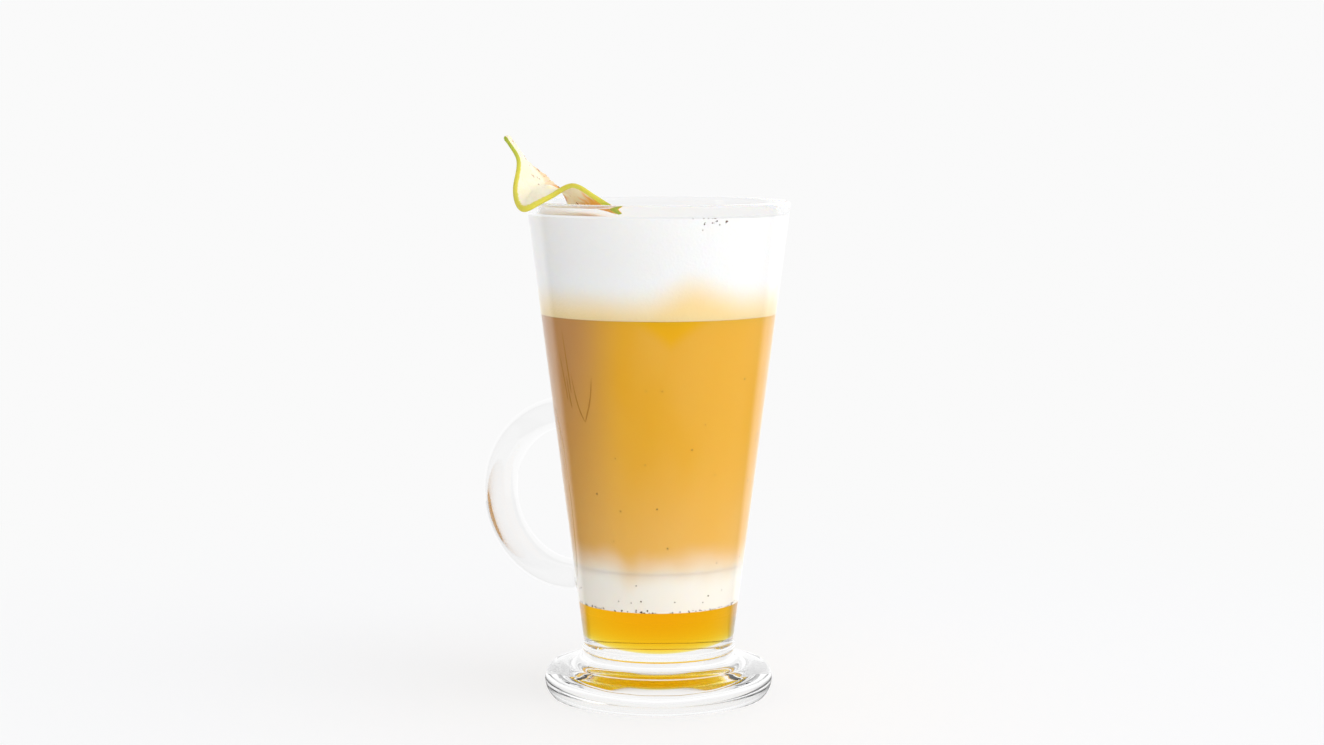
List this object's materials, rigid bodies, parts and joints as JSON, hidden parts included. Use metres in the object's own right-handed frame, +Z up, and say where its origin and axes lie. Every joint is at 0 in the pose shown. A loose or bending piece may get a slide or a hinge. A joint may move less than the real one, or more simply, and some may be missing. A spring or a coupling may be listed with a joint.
{
  "type": "latte in a handled glass",
  "caption": "Layered latte in a tall tapered glass with a C-shaped handle and a stepped foot: syrup, milk, coffee and foam, with a dried pear slice over the rim.",
  "frame": {"origin": "middle of the foot's underside, where the glass stands", "axes": "+Z up along the glass's axis; the handle points along -X"},
  "size_m": [0.0974, 0.0781, 0.1675],
  "materials": {
    "clear_glass": "clear pressed glass, polished",
    "amber_syrup": "clear amber syrup",
    "milk": "warm white milk",
    "milky_coffee": "milky coffee, golden brown",
    "milk_foam": "fine white milk foam",
    "dried_pear": "dried pear, cream flesh and yellow-green peel"
  },
  "bodies": {
    "root": {"glass": "clear_glass", "syrup": "amber_syrup", "milk": "milk", "coffee": "milky_coffee", "foam": "milk_foam", "pear_chip": "dried_pear"}
  },
  "joints": []
}
